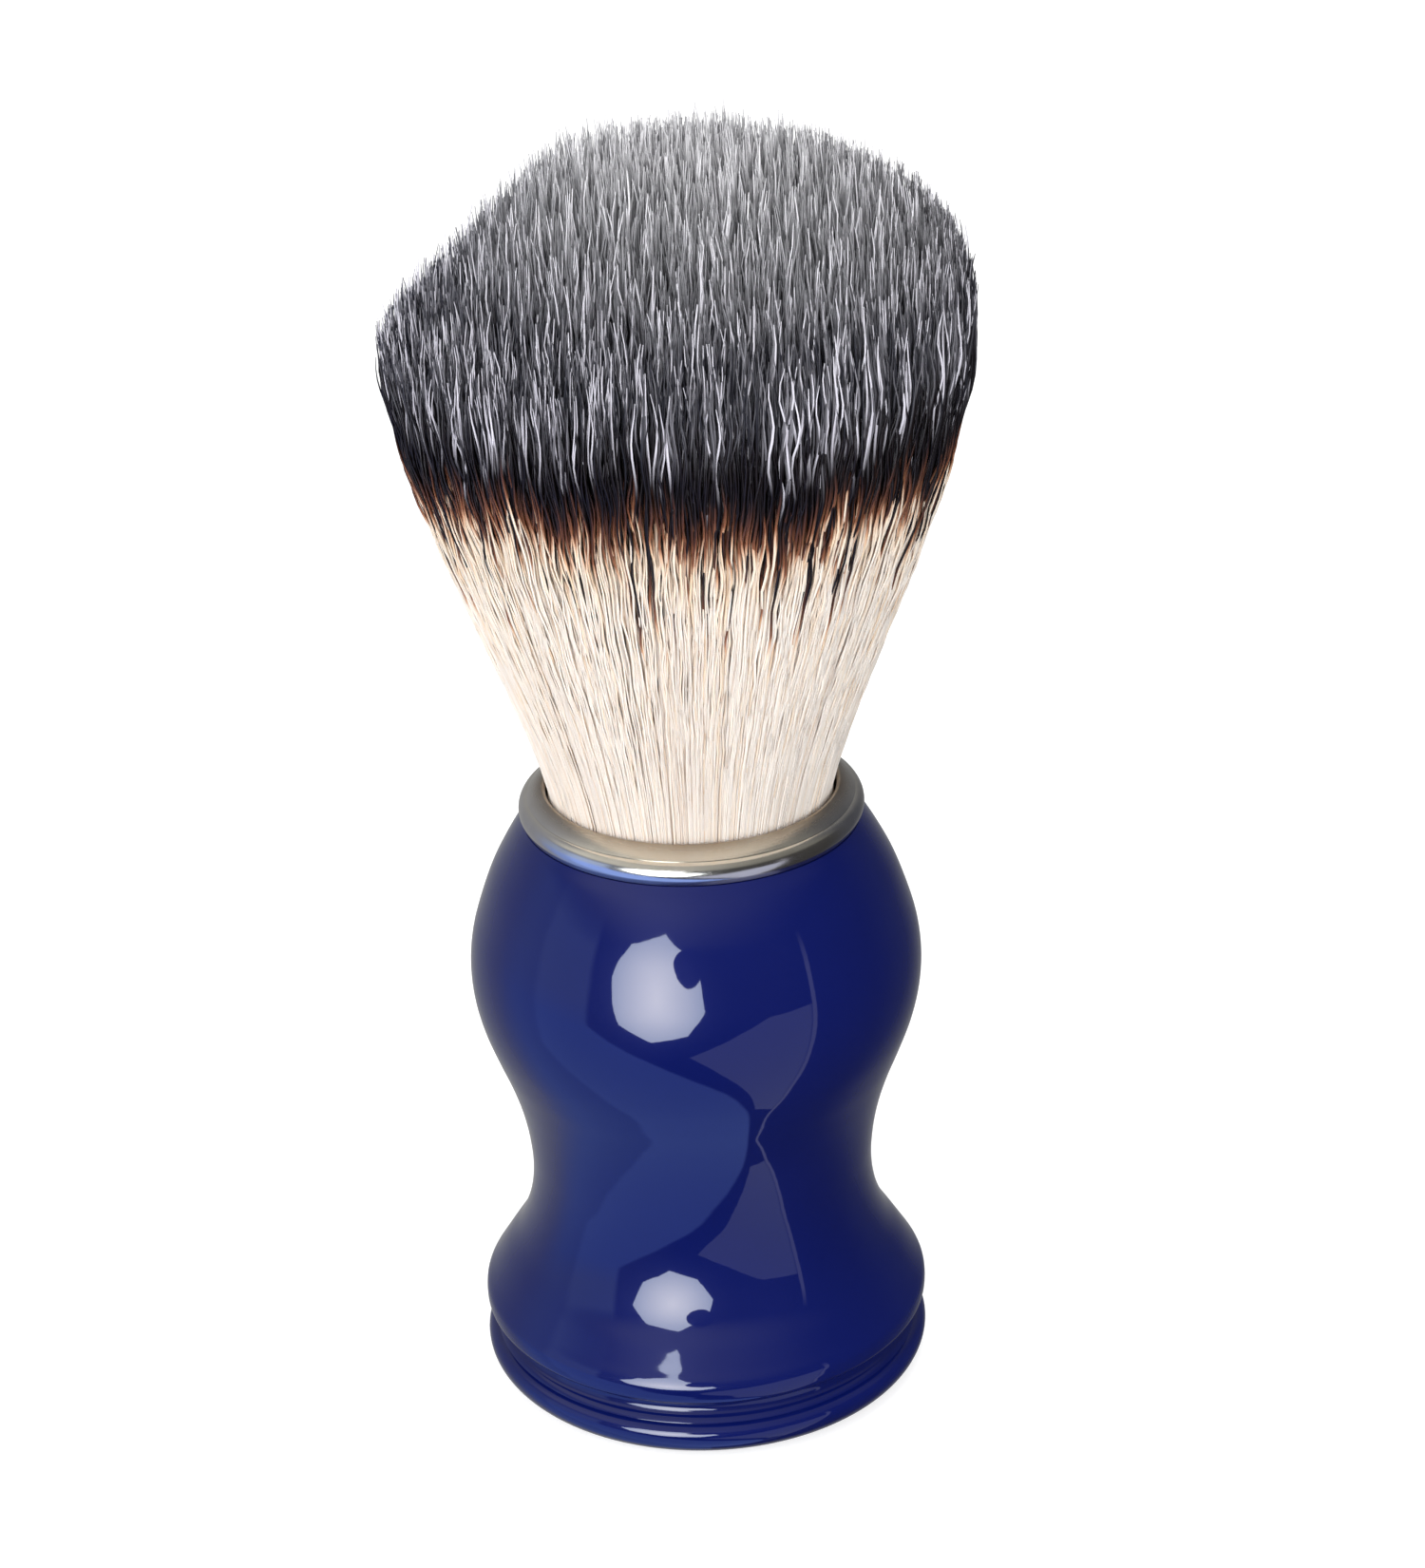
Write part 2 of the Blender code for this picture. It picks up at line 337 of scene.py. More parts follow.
def blue_lacquer():
    """Deep blue paint under a thick clear coat, with dust nibs and a trace of orange peel."""
    material, tree, shader = new_material(
        "blue_lacquer",
        Roughness=0.32,
        Specular_IOR_Level=0.04,
        IOR=1.5,
        Coat_Weight=1.0,
        Coat_Roughness=0.035,
        Coat_IOR=1.52,
    )
    place = object_place(tree)
    cloud = noise(tree, place, 90.0, 4.0)
    blue = mix_colours(tree, cloud, (0.0009, 0.0034, 0.054), (0.0015, 0.0046, 0.066))
    cells = node(tree, "ShaderNodeTexVoronoi", Scale=260.0)
    tree.links.new(place, cells.inputs["Vector"])
    near = calculate(tree, "LESS_THAN", cells.outputs["Distance"], 0.022)
    chosen = node(tree, "ShaderNodeSeparateColor")
    tree.links.new(cells.outputs["Color"], chosen.inputs[0])
    rare = calculate(tree, "GREATER_THAN", chosen.outputs[0], 0.45)
    nib = calculate(tree, "MULTIPLY", near, rare)
    colour = mix_colours(tree, calculate(tree, "MULTIPLY", nib, 0.5), blue, (0.20, 0.26, 0.52))
    tree.links.new(colour, shader.inputs["Base Color"])
    tree.links.new(remap(tree, cloud, 0.3, 0.7, 0.28, 0.36), shader.inputs["Roughness"])
    peel = noise(tree, place, 420.0, 2.0)
    lump = calculate(tree, "MULTIPLY_ADD", nib, 0.6, peel)
    add_bump(tree, shader, lump, 0.000012, 0.5, socket="Coat Normal")
    add_bump(tree, shader, peel, 0.00001, 0.3)
    return material


def collar_metal():
    """Plated ring: bright flank, fine lathe lines on the slope, and darker, browner metal towards the
    bore.
    """
    material, tree, shader = new_material("collar_metal", Metallic=1.0, Roughness=0.2)
    place = object_place(tree)
    parts = node(tree, "ShaderNodeSeparateXYZ")
    tree.links.new(place, parts.inputs[0])
    across = calculate(
        tree,
        "SQRT",
        calculate(
            tree,
            "ADD",
            calculate(tree, "MULTIPLY", parts.outputs[0], parts.outputs[0]),
            calculate(tree, "MULTIPLY", parts.outputs[1], parts.outputs[1]),
        ),
    )
    lathe = node(tree, "ShaderNodeTexNoise", noise_dimensions="1D", Scale=14000.0, Detail=2.0)
    tree.links.new(across, lathe.inputs["W"])
    smear = noise(tree, place, 260.0, 5.0, 0.65)
    steel = mix_colours(tree, smear, (0.60, 0.56, 0.47), (0.80, 0.765, 0.68))
    # The metal turns darker and browner towards the bore
    edge = remap(tree, across, COLLAR_BORE + 0.0016, COLLAR_BORE + 0.0001, smooth=True)
    browner_near_bore = calculate(tree, "MULTIPLY", edge, remap(tree, smear, 0.25, 0.75, 0.55, 0.95))
    colour = mix_colours(tree, browner_near_bore, steel, (0.22, 0.155, 0.10))
    tree.links.new(colour, shader.inputs["Base Color"])
    rough = calculate(tree, "MULTIPLY_ADD", smear, 0.16, 0.10)
    rough = calculate(tree, "MULTIPLY_ADD", edge, 0.15, rough)
    tree.links.new(rough, shader.inputs["Roughness"])
    add_bump(tree, shader, lathe.outputs["Fac"], 0.000006, 0.6)
    return material


def cured_glue():
    material, tree, shader = new_material("cured_glue", Roughness=0.35)
    place = object_place(tree)
    cloud = noise(tree, place, 700.0, 4.0)
    colour = mix_colours(tree, cloud, (0.66, 0.57, 0.36), (0.82, 0.75, 0.55))
    tree.links.new(colour, shader.inputs["Base Color"])
    tree.links.new(remap(tree, cloud, 0.2, 0.8, 0.25, 0.5), shader.inputs["Roughness"])
    add_bump(tree, shader, cloud, 0.00005, 0.5)
    return material


def cast_resin():
    material, tree, shader = new_material("cast_resin", Roughness=0.2, Coat_Weight=0.4)
    place = object_place(tree)
    swirl = noise(tree, place, 320.0, 5.0, 0.6)
    colour = mix_colours(tree, swirl, (0.46, 0.27, 0.08), (0.76, 0.56, 0.28))
    tree.links.new(colour, shader.inputs["Base Color"])
    tree.links.new(remap(tree, swirl, 0.2, 0.8, 0.12, 0.34), shader.inputs["Roughness"])
    add_bump(tree, shader, swirl, 0.00004, 0.4)
    return material


def waxed_cord():
    """Twisted nylon: slanting plies along the turns."""
    material, tree, shader = new_material("waxed_cord", Roughness=0.6, Sheen_Weight=0.2)
    place = object_place(tree)
    plies = node(tree, "ShaderNodeTexWave", Scale=1400.0, Distortion=1.5, Detail=2.0)
    plies.bands_direction = "DIAGONAL"
    tree.links.new(place, plies.inputs["Vector"])
    ply = plies.outputs["Fac"]
    colour = mix_colours(tree, ply, (0.62, 0.58, 0.50), (0.88, 0.86, 0.80))
    tree.links.new(colour, shader.inputs["Base Color"])
    tree.links.new(remap(tree, ply, 0.0, 1.0, 0.7, 0.5), shader.inputs["Roughness"])
    add_bump(tree, shader, ply, 0.00005, 0.7)
    return material


def dyed_fibre():
    """Crimped nylon strands. The strands' own map gives the height on the resting brush along U
    and the strand's class along V: how far down its dye runs, how far up it stays black and how
    dark its grey is; the darker classes are black dye and also painted shade in the gaps between tufts."""
    material, tree, shader = new_material(
        "dyed_fibre",
        Roughness=0.40,
        Specular_IOR_Level=0.30,
        Subsurface_Radius=(1.0, 0.8, 0.65),
        Subsurface_Scale=0.0005,
    )
    strand_map = node(tree, "ShaderNodeUVMap", uv_map=STRAND_MAP)
    parts = node(tree, "ShaderNodeSeparateXYZ")
    tree.links.new(strand_map.outputs[0], parts.inputs[0])
    span = HEIGHT_RANGE[1] - HEIGHT_RANGE[0]
    height = calculate(tree, "MULTIPLY_ADD", parts.outputs[0], span * 1000, HEIGHT_RANGE[0] * 1000)
    kind = calculate(tree, "FLOOR", calculate(tree, "MULTIPLY", parts.outputs[1], float(CLASSES)))
    level = calculate(tree, "FLOOR", calculate(tree, "DIVIDE", kind, float(SHADES)))
    shade = calculate(tree, "MODULO", kind, float(SHADES))
    chance = node(tree, "ShaderNodeTexWhiteNoise", noise_dimensions="1D")
    tree.links.new(kind, chance.inputs["W"])
    luck = chance.outputs["Value"]
    low, high = (1000 * reach for reach in DYE_REACH)
    step = (high - low) / (DYE_LEVELS - 1)
    climbed = calculate(tree, "SUBTRACT", height, DYE_HEIGHT * 1000)
    reach = calculate(tree, "MULTIPLY_ADD", level, step, low)
    above = calculate(tree, "SUBTRACT", climbed, reach)
    tan = calculate(tree, "POWER", luck, 3.0)
    cream = mix_colours(tree, tan, (0.885, 0.768, 0.668), (0.80, 0.59, 0.42))
    edge = remap(tree, above, -7.0, 3.0)
    dye = ramp(
        tree,
        edge,
        [
            (0.0, (1.0, 1.0, 1.0)),
            (0.45, (0.93, 0.86, 0.78)),
            (0.56, (0.66, 0.46, 0.35)),
            (0.63, (0.24, 0.105, 0.058)),
            (0.76, (0.085, 0.034, 0.022)),
            (0.92, (0.020, 0.011, 0.010)),
            (1.0, (0.007, 0.005, 0.006)),
        ],
    )
    dyed = mix_colours(tree, 1.0, cream, dye, "MULTIPLY")
    # Above the dye's edge a strand stays black for a few millimetres, then washes out to grey. The
    # darker classes stay black higher up and turn only dark grey: black dye, and also painted shade in
    # the gaps between the lit tufts.
    start = calculate(tree, "MULTIPLY_ADD", shade, 1.2, 3.0)
    start = calculate(tree, "MULTIPLY_ADD", reach, 0.35, start)
    wash = calculate(tree, "SUBTRACT", climbed, start)
    wash = remap(tree, wash, 0.0, 4.5, smooth=True)
    up = remap(tree, height, 84.0, 106.0)
    pale = ramp(
        tree,
        up,
        [
            (0.0, (0.56, 0.545, 0.625)),
            (0.6, (0.57, 0.56, 0.61)),
            (1.0, (0.70, 0.695, 0.71)),
        ],
    )
    # Dark grey of the darker classes: black dye plus painted shade between the tufts, painted lighter
    # towards the tips
    dark = ramp(
        tree,
        up,
        [
            (0.0, (0.006, 0.006, 0.008)),
            (0.5, (0.018, 0.018, 0.024)),
            (0.84, (0.22, 0.22, 0.23)),
            (1.0, (0.54, 0.535, 0.55)),
        ],
    )
    # How far each strand goes from the pale grey to the dark grey: part black dye, part painted shade
    # between the tufts
    black_dye_and_gap_shade = calculate(tree, "MULTIPLY_ADD", luck, 0.30, -0.15)
    black_dye_and_gap_shade = calculate(tree, "ADD", black_dye_and_gap_shade, remap(tree, shade, -0.05, 1.2), clamp=True)
    grey = mix_colours(tree, black_dye_and_gap_shade, pale, dark)
    colour = mix_colours(tree, wash, dyed, grey)
    undyed = remap(tree, above, 2.0, -4.0, 0.0, 0.45)
    tree.links.new(undyed, shader.inputs["Subsurface Weight"])
    tree.links.new(colour, shader.inputs["Base Color"])
    tree.links.new(remap(tree, luck, 0.0, 1.0, 0.36, 0.52), shader.inputs["Roughness"])
    return material


def packed_roots():
    """The mass of strands behind the outer ones: the same dye, darker, with fine streaks; the near black
    above the dye's edge is painted shade deep in the bundle.
    """
    material, tree, shader = new_material("packed_roots", Roughness=0.6)
    place = object_place(tree)
    parts = node(tree, "ShaderNodeSeparateXYZ")
    tree.links.new(place, parts.inputs[0])
    stretch = node(tree, "ShaderNodeMapping", Scale=(1.0, 1.0, 0.06))
    tree.links.new(place, stretch.inputs["Vector"])
    streak = noise(tree, stretch.outputs[0], 2600.0, 3.0, 0.6)
    height = calculate(tree, "MULTIPLY_ADD", streak, 0.006, parts.outputs[2])
    # Cream low down, near black above the dye's edge: the dye, and painted shade inside the bundle
    colour = ramp(
        tree,
        remap(tree, height, 0.072, 0.092),
        [
            (0.0, (0.90, 0.82, 0.73)),
            (0.40, (0.80, 0.66, 0.53)),
            (0.55, (0.055, 0.025, 0.018)),
            (1.0, (0.010, 0.009, 0.011)),
        ],
    )
    colour = mix_colours(tree, remap(tree, streak, 0.4, 0.8, 0.0, 0.25), colour, (0.30, 0.20, 0.13))
    tree.links.new(colour, shader.inputs["Base Color"])
    add_bump(tree, shader, streak, 0.0001, 0.8)
    return material


# ---------------------------------------------------------------- turned pieces


def add_object(name, data):
    made = bpy.data.objects.new(name, data)
    bpy.context.scene.collection.objects.link(made)
    return made


def add_piece(name, mesh, material, replaced, body=None):
    """A piece of the brush that stands for CAD nodes. A piece with no body is left unattached."""
    mesh.materials.append(material)
    piece = add_object(name, mesh)
    if body:
        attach(piece, body)
    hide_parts(*replaced)
    return piece


def turned(name, outline, closed=False, sharp=38.0, segments=TURN_SEGMENTS):
    """Spins an outline about the Z axis. An open outline starts and ends on the axis."""
    shape = bmesh.new()
    points = [shape.verts.new((radius, 0.0, height)) for radius, height in outline]
    lines = [shape.edges.new(pair) for pair in zip(points, points[1:])]
    if closed:
        lines.append(shape.edges.new((points[-1], points[0])))
    bmesh.ops.spin(
        shape,
        geom=points + lines,
        cent=(0.0, 0.0, 0.0),
        axis=(0.0, 0.0, 1.0),
        angle=2 * math.pi,
        steps=segments,
        use_merge=True,
    )
    bmesh.ops.remove_doubles(shape, verts=shape.verts, dist=1e-7)
    bmesh.ops.recalc_face_normals(shape, faces=shape.faces)
    mesh = bpy.data.meshes.new(name)
    shape.to_mesh(mesh)
    shape.free()
    mesh.shade_smooth()
    mesh.set_sharp_from_angle(angle=math.radians(sharp))
    return mesh


def add_handle():
    ring_centre = (FOOT_RADIUS - RING_EDGE, RING_HEIGHT)
    underside = arc((REST_RADIUS, RING_HEIGHT), (FOOT_RADIUS - REST_RADIUS, RING_HEIGHT), -90, 0, 18)
    ring_top = arc(ring_centre, (RING_EDGE, RING_EDGE), 0, 80, 8)[1:]
    groove = arc((GROOVE_CENTRE, GROOVE_HEIGHT), (GROOVE_RADIUS, GROOVE_RADIUS), 250, 120, 12)
    body = smooth_curve([(share * FOOT_RADIUS, height) for share, height in BODY_STATIONS], 5)
    crown = body[0][0]
    flare = arc((crown - FLARE_EDGE, FLARE_HEIGHT), (FLARE_EDGE, FLARE_EDGE), -70, 0, 8)[:-1]
    socket = [
        (REBATE_RADIUS, HANDLE_HEIGHT),
        (REBATE_RADIUS, REBATE_FLOOR),
        (SOCKET_RADIUS, REBATE_FLOOR),
        (SOCKET_RADIUS, SOCKET_FLOOR),
        (0.0, SOCKET_FLOOR),
    ]
    outline = [(0.0, 0.0)] + underside + ring_top + groove + flare + body + socket
    mesh = turned("lacquered_handle", outline)
    add_piece("lacquered_handle", mesh, blue_lacquer(), ["handle"], "handle")


def add_collar():
    flank_low = HANDLE_HEIGHT + SEAM
    crease_height = COLLAR_TOP - COLLAR_SLOPE
    flank_centre = (COLLAR_RADIUS - FLANK_WIDTH, COLLAR_SEAT + FLANK_MIDDLE)
    outline = [
        (COLLAR_BORE, COLLAR_SEAT - SPIGOT_DEPTH),
        (SPIGOT_RADIUS, COLLAR_SEAT - SPIGOT_DEPTH),
        (SPIGOT_RADIUS, flank_low),
        (COLLAR_RADIUS - GAP, flank_low),
    ]
    outline += arc(flank_centre, (FLANK_WIDTH, crease_height - flank_centre[1]), -25, 78, 14)
    outline += [(COLLAR_CREASE, crease_height + 0.00002)]
    outline += arc((COLLAR_BORE + GAP, COLLAR_TOP - GAP), (GAP, GAP), 75, 180, 8)
    mesh = turned("collar_band", outline, closed=True, sharp=30.0)
    add_piece("collar_band", mesh, collar_metal(), ["collar_ring"], "handle")


def finish_hidden_pieces():
    """The glue, plug and cord inside the handle keep their CAD shapes and get their finishes."""
    glue = cured_glue()
    finishes = {
        "collar_adhesive": glue,
        "socket_adhesive": glue,
        "knot_plug": cast_resin(),
        "knot_binding": waxed_cord(),
    }
    for name, material in finishes.items():
        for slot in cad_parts[name].material_slots:
            slot.material = material


# ---------------------------------------------------------------- knot


def dome_height(share, power):
    """Height of the clipped top over a radial share of the knot."""
    rise = (1 - np.clip(share, 0, 1) ** power) ** (1 / power)
    return LOFT_WIDEST + (LOFT_TOP - LOFT_WIDEST) * rise


def tip_height(share, angle):
    """The clipped top: a dome, fuller towards +X, that straightens into a slant towards -X."""
    dome = dome_height(share, DOME_POWER + FULL_SIDE * np.clip(np.cos(angle), 0, 1))
    slant = LOFT_WIDEST - SLANT_DROP + SLANT_RISE * (1 - np.clip(share, 0, 1))
    towards_slant = np.clip(-np.cos(angle), 0, 1) ** 0.7
    return dome - towards_slant * np.maximum(dome - slant, 0)


def nearest_tuft(share, angle, tuft_share, tuft_angle):
    """For each strand, the tuft whose place in the knot is closest."""
    tufts = (tuft_share * np.exp(1j * tuft_angle))[None, :]
    strands = (share * np.exp(1j * angle))[:, None]
    home = np.empty(len(share), int)
    for part in np.array_split(np.arange(len(share)), 12):
        home[part] = np.argmin(np.abs(strands[part] - tufts), axis=1)
    return home


def crimp(random, height, home, tufts, size, shared):
    """Sideways push of a wave along each strand; tuft mates share their wave."""
    count = len(home)
    if shared:
        length = random.uniform(*TUFT_CRIMP_LENGTH, tufts)[home]
        phase = random.uniform(0, 2 * math.pi, tufts)[home]
        phase = phase + random.normal(0, TUFT_CRIMP_LAG, count)
    else:
        length = random.uniform(*STRAND_CRIMP_LENGTH, count)
        phase = random.uniform(0, 2 * math.pi, count)
    swing = size * random.uniform(0.4, 1.5, count)
    return swing[:, None] * np.sin(2 * math.pi * height / length[:, None] + phase[:, None])


def risen(height, start, run):
    """How far a height is through a stretch of the strand, from 0 to 1."""
    return np.clip((height - start) / run, 0, 1)


def strand_lines(random, count, shares, start, steps, sink):
    """Paths of crimped strands, (count, steps + 1, 3), gathered in small tufts at the tips. They
    run from the height start, or with none from sink below their own tips."""
    tufts = int(count / STRANDS_PER_TUFT)
    tuft_share = np.sqrt(random.uniform(shares[0] ** 2, shares[1] ** 2, tufts))
    tuft_angle = random.uniform(0, 2 * math.pi, tufts)
    share = np.sqrt(random.uniform(shares[0] ** 2, shares[1] ** 2, count))
    angle = random.uniform(0, 2 * math.pi, count)
    home = nearest_tuft(share, angle, tuft_share, tuft_angle)
    tip = tip_height(share, angle)
    shade = random.normal(SHADE_MEAN, SHADE_TUFT_SPREAD, tufts)[home]
    shade = shade + random.normal(0, SHADE_STRAND_SPREAD, count)
    shade = np.clip(np.round(shade), 0, SHADES - 1)
    tip -= np.abs(random.normal(0, TIP_SCATTER, count)) + TIP_TRIM + DARK_SINK * shade
    tip += random.normal(0, TUFT_SCATTER, tufts)[home]
    low = tip - sink if start is None else np.full(count, start)
    t = np.linspace(0, 1, steps + 1)[None, :]
    height = low[:, None] + (tip - low)[:, None] * t
    climb = risen(height, COLLAR_TOP, LOFT_TOP - COLLAR_TOP)
    drift = random.normal(0, STRAND_DRIFT, count)[:, None]
    spread = random.normal(0, STRAND_SPREAD, count)[:, None]
    strays = (random.uniform(0, 1, count) < STRAY_CHANCE)[:, None]
    stray = strays * random.uniform(0.0, STRAY_REACH, count)[:, None]
    gather = GATHER * risen(height, GATHER_START, GATHER_RUN) ** 1.5
    packed = 1.0
    if start is not None:
        packed = SHELL_PACKING + (1 - SHELL_PACKING) * risen(height, PACKED_START, PACKED_RUN) ** 1.5
    own_share = shares[1] - (shares[1] - share[:, None]) * packed
    own_share = own_share + (spread * packed + stray) * climb**2
    own = own_share * np.exp(1j * (angle[:, None] + drift * climb**1.5))
    mates = (tuft_share * np.exp(1j * tuft_angle))[home][:, None]
    place = (own * (1 - gather) + mates * gather) * loft_side(height)
    # The collar holds the strands still, and the crimp grows again where the knot opens
    calm = risen(height, COLLAR_TOP, CRIMP_RUN)
    calm = calm * (0.55 + 0.45 * risen(height, LOOSE_START, LOOSE_RUN))
    push_x = crimp(random, height, home, tufts, TUFT_CRIMP, True)
    push_y = crimp(random, height, home, tufts, TUFT_CRIMP, True)
    push_x = push_x + crimp(random, height, home, tufts, STRAND_CRIMP, False)
    push_y = push_y + crimp(random, height, home, tufts, STRAND_CRIMP, False)
    x = place.real + push_x * calm
    y = place.imag + push_y * calm
    return np.stack([x, y, height], axis=2), angle, home, shade


def dye_classes(random, angle, home, shade):
    """A class for each strand: neighbours' dye runs down about as far, a few run much further."""
    tufts = home.max() + 1
    slow = DYE_SETTLE + 0.0006 * np.sin(angle * 3 + 1.0)
    slow = slow + 0.0005 * np.sin(angle * 8 + 2.0) + 0.0004 * np.sin(angle * 17)
    reach = slow + random.normal(0, 0.0008, tufts)[home] + random.normal(0, 0.0007, len(angle))
    spike = random.uniform(0, 1, len(angle)) < SPIKE_CHANCE
    reach = np.where(spike, reach - random.exponential(SPIKE_LENGTH, len(angle)), reach)
    low, high = DYE_REACH
    level = np.round((reach - low) / (high - low) * (DYE_LEVELS - 1))
    level = np.clip(level, 0, DYE_LEVELS - 1)
    return (level * SHADES + shade).astype(int)


def strand_profile():
    """The three-sided section that every strand is swept from."""
    curve = bpy.data.curves.new("strand_profile", "CURVE")
    curve.dimensions = "2D"
    line = curve.splines.new("POLY")
    line.points.add(2)
    for i, point in enumerate(line.points):
        angle = -2 * math.pi * i / 3
        point.co = (math.cos(angle), math.sin(angle), 0.0, 1.0)
    line.use_cyclic_u = True
    return add_object("strand_profile", curve)


def sweep_strands(name, lines, widths, classes):
    """A mesh of closed tubes along the lines, with the strands' height and class in its map."""
    profile = strand_profile()
    curve = bpy.data.curves.new(name, "CURVE")
    curve.dimensions = "3D"
    curve.bevel_mode = "OBJECT"
    curve.bevel_object = profile
    curve.use_fill_caps = True
    blanks = [bpy.data.materials.new("class") for _ in range(CLASSES)]
    for blank in blanks:
        curve.materials.append(blank)
    count, points, _ = lines.shape
    places = np.ones((points, 4))
    for i in range(count):
        line = curve.splines.new("POLY")
        line.points.add(points - 1)
        line.material_index = int(classes[i])
        places[:, :3] = lines[i]
        line.points.foreach_set("co", places.ravel())
        line.points.foreach_set("radius", widths[i])
    holder = add_object(name, curve)
    bpy.context.view_layer.update()
    swept = holder.evaluated_get(bpy.context.evaluated_depsgraph_get())
    mesh = bpy.data.meshes.new_from_object(swept)
    bpy.data.objects.remove(holder)
    bpy.data.objects.remove(profile)
    shape = bmesh.new()
    shape.from_mesh(mesh)
    bmesh.ops.remove_doubles(shape, verts=shape.verts, dist=1e-7)
    shape.to_mesh(mesh)
    shape.free()
    map_strands(mesh)
    mesh.materials.clear()
    for blank in blanks:
        bpy.data.materials.remove(blank)
    mesh.name = name
    mesh.shade_smooth()
    sharpen_ends(mesh)
    return mesh


def sharpen_ends(mesh):
    """The rims of the strands' end faces stay crisp, so that the ends don't darken the sides."""
    size = np.empty(len(mesh.polygons), int)
    first = np.empty(len(mesh.polygons), int)
    mesh.polygons.foreach_get("loop_total", size)
    mesh.polygons.foreach_get("loop_start", first)
    edge = np.empty(len(mesh.loops), int)
    mesh.loops.foreach_get("edge_index", edge)
    ends = first[size == 3]
    sharp = np.zeros(len(mesh.edges), bool)
    for corner in range(3):
        sharp[edge[ends + corner]] = True
    layer = mesh.attributes.get("sharp_edge") or mesh.attributes.new("sharp_edge", "BOOLEAN", "EDGE")
    layer.data.foreach_set("value", sharp)


def map_strands(mesh):
    """Writes the height along U and the class along V, then drops the class from the faces."""
    corners = len(mesh.loops)
    around = np.empty(corners * 2)
    mesh.uv_layers[0].data.foreach_get("uv", around)
    around = around.reshape(-1, 2)[:, 1]
    owner = np.empty(corners, int)
    mesh.loops.foreach_get("vertex_index", owner)
    places = np.empty(len(mesh.vertices) * 3)
    mesh.vertices.foreach_get("co", places)
    height = places.reshape(-1, 3)[owner, 2]
    kind = np.empty(len(mesh.polygons), int)
    size = np.empty(len(mesh.polygons), int)
    mesh.polygons.foreach_get("material_index", kind)
    mesh.polygons.foreach_get("loop_total", size)
    kind = np.repeat(kind, size)
    while mesh.uv_layers:
        mesh.uv_layers.remove(mesh.uv_layers[0])
    layer = mesh.uv_layers.new(name=STRAND_MAP)
    flat = np.empty((corners, 2))
    climbed = (height - HEIGHT_RANGE[0]) / (HEIGHT_RANGE[1] - HEIGHT_RANGE[0])
    flat[:, 0] = np.clip(climbed, 0.001, 0.999)
    flat[:, 1] = (kind + 0.2 + 0.6 * np.clip(around, 0, 1)) / CLASSES
    layer.data.foreach_set("uv", flat.ravel())
    mesh.polygons.foreach_set("material_index", np.zeros(len(mesh.polygons), int))


def strand_widths(lines, sizes, tapered):
    """Radius along each strand: slimmer where packed at the root, a fine point at the tip."""
    height = lines[:, :, 2]
    root = ROOT_WIDTH + (1 - ROOT_WIDTH) * risen(height, COLLAR_TOP, ROOT_RUN)
    width = STRAND_RADIUS * root * sizes[:, None]
    if tapered:
        left = height[:, -1:] - height
        width = width * (TIP_WIDTH + (1 - TIP_WIDTH) * risen(left, 0, TIP_TAPER) ** 0.8)
    return width


def add_strands(name, lines, widths, classes, material, replaced):
    """Sweeps the strands in several pieces, so that none is too heavy."""
    for part, chosen in enumerate(np.array_split(np.arange(len(lines)), PIECES_PER_LAYER)):
        title = f"{name}_{part + 1}"
        mesh = sweep_strands(title, lines[chosen], widths[chosen], classes[chosen])
        piece = add_piece(title, mesh, material, replaced)
        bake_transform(piece)


def core_side(low, high, steps):
    """The core lies close behind the strands low down and draws in towards the tips."""
    points = []
    for height in np.linspace(low, high, steps):
        drawn = risen(height, PACKED_START, PACKED_RUN)
        share = CORE_ROOT_SHARE + (CORE_SHARE - CORE_ROOT_SHARE) * drawn
        points.append((float(share * loft_side(height)), float(height)))
    return points


def add_core(material):
    """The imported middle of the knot, in two pieces that meet where the strands are parted."""
    lower = [(0.0, STRAND_START)] + core_side(STRAND_START, TIER_HEIGHT, 16) + [(0.0, TIER_HEIGHT)]
    mesh = turned("lower_core", lower, segments=CORE_SEGMENTS)
    piece = add_piece("lower_core", mesh, material, ["fibre_root", "fibre_lower_loft"])
    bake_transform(piece)
    top = []
    for share in np.linspace(CORE_SHARE, 0, 18):
        height = min(tip_height(share, 0.0), tip_height(share, math.pi)) - CORE_SINK
        top.append((float(share * LOFT_RADIUS), float(height)))
    side = core_side(TIER_HEIGHT, top[0][1], 10)[:-1]
    mesh = turned("upper_core", [(0.0, TIER_HEIGHT)] + side + top, segments=CORE_SEGMENTS)
    piece = add_piece("upper_core", mesh, material, ["fibre_upper_loft"])
    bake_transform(piece)


